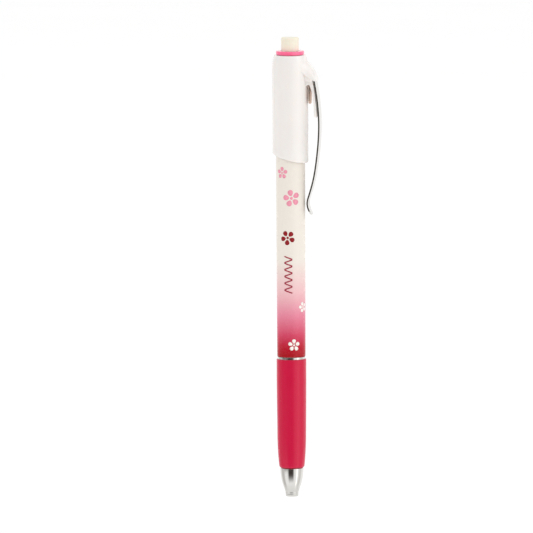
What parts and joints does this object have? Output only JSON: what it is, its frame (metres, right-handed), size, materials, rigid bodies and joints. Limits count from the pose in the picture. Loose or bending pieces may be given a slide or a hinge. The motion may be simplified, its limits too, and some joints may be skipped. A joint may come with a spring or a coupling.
{
  "type": "fabric marking pencil",
  "caption": "Slim mechanical fabric marking pencil with a chrome cone, soft grip, white push cap, sprung pocket clip and a twist-out eraser.",
  "frame": {"origin": "on the pencil's axis, in the middle of the grip's straight band", "axes": "+Z along the pencil from its tip to its eraser, +X towards the clip"},
  "size_m": [0.0152, 0.0112, 0.144],
  "materials": {
    "barrel": "cream plastic that fades to crimson towards the grip, glossy",
    "rubber_grip": "crimson soft-touch rubber, satin",
    "trim_ring": "polished chrome plating",
    "chuck_housing": "turned steel",
    "nose_cone": "polished chrome plating",
    "tip_slider": "white plastic",
    "lead_pipe": "drawn steel tube",
    "lead_brake": "black rubber",
    "lead": "pink ceramic marking lead, matte",
    "lead_reservoir": "natural white plastic tube",
    "chuck_connector": "natural white plastic",
    "spare_leads": "pink ceramic marking lead, matte",
    "chuck": "turned brass",
    "clutch_ring": "turned brass",
    "chuck_spring": "spring steel wire",
    "guide_tube": "pink plastic, glossy",
    "cap_sleeve": "white plastic, glossy",
    "helix_sleeve": "natural white plastic",
    "clip": "polished chrome-plated spring steel",
    "clip_root": "chrome-plated spring steel in shade",
    "eraser_carrier": "natural white plastic",
    "eraser": "cream eraser compound, matte"
  },
  "bodies": {
    "barrel": {"barrel": "barrel", "rubber_grip": "rubber_grip", "trim_ring": "trim_ring", "chuck_housing": "chuck_housing", "chuck_spring": "chuck_spring"},
    "nose": {"nose_cone": "nose_cone"},
    "slider": {"tip_slider": "tip_slider", "lead_pipe": "lead_pipe", "lead_brake": "lead_brake"},
    "lead": {"lead": "lead"},
    "feed_unit": {"lead_reservoir": "lead_reservoir", "chuck_connector": "chuck_connector", "chuck": "chuck", "spare_leads": "spare_leads"},
    "clutch": {"clutch_ring": "clutch_ring"},
    "eraser_holder": {"guide_tube": "guide_tube"},
    "cap": {"cap_sleeve": "cap_sleeve", "helix_sleeve": "helix_sleeve", "clip_root": "clip_root"},
    "clip": {"clip": "clip"},
    "eraser": {"eraser_carrier": "eraser_carrier", "eraser": "eraser"}
  },
  "joints": [
    {"name": "nose_off", "type": "slide", "parent": "barrel", "child": "nose", "axis": [0, 0, -1], "range_m": [0, 0.04]},
    {"name": "tip_slide", "type": "slide", "parent": "nose", "child": "slider", "axis": [0, 0, -1], "range_m": [0, 0.004]},
    {"name": "lead_feed", "type": "slide", "parent": "slider", "child": "lead", "axis": [0, 0, -1], "range_m": [0, 0.003]},
    {"name": "knock", "type": "slide", "parent": "barrel", "child": "feed_unit", "axis": [0, 0, -1], "range_m": [0, 0.003], "stiffness_N_per_m": 600, "springref_m": -0.005, "deforming": ["chuck_spring"]},
    {"name": "clutch_travel", "type": "slide", "parent": "barrel", "child": "clutch", "axis": [0, 0, -1], "range_m": [0, 0.00125]},
    {"name": "cap_pull", "type": "slide", "parent": "feed_unit", "child": "eraser_holder", "axis": [0, 0, 1], "range_m": [0, 0.045]},
    {"name": "cap_twist", "type": "hinge", "parent": "eraser_holder", "child": "cap", "pos_m": [0, 0, 0.0881], "axis": [0, 0, 1], "range_deg": [-180.01, 720.01]},
    {"name": "eraser_rise", "type": "slide", "parent": "eraser_holder", "child": "eraser", "axis": [0, 0, 1], "range_m": [-0.003, 0.012]},
    {"name": "clip_flex", "type": "hinge", "parent": "cap", "child": "clip", "pos_m": [0.00775, 0, 0.0907], "axis": [0, -1, 0], "range_deg": [0, 5], "stiffness_Nm_per_rad": 3}
  ],
  "couplings": [
    {"joint": "clutch_travel", "follows": "knock", "ratio": 0.4},
    {"joint": "cap_twist", "follows": "eraser_rise", "rad_per_m": 1047.2}
  ]
}
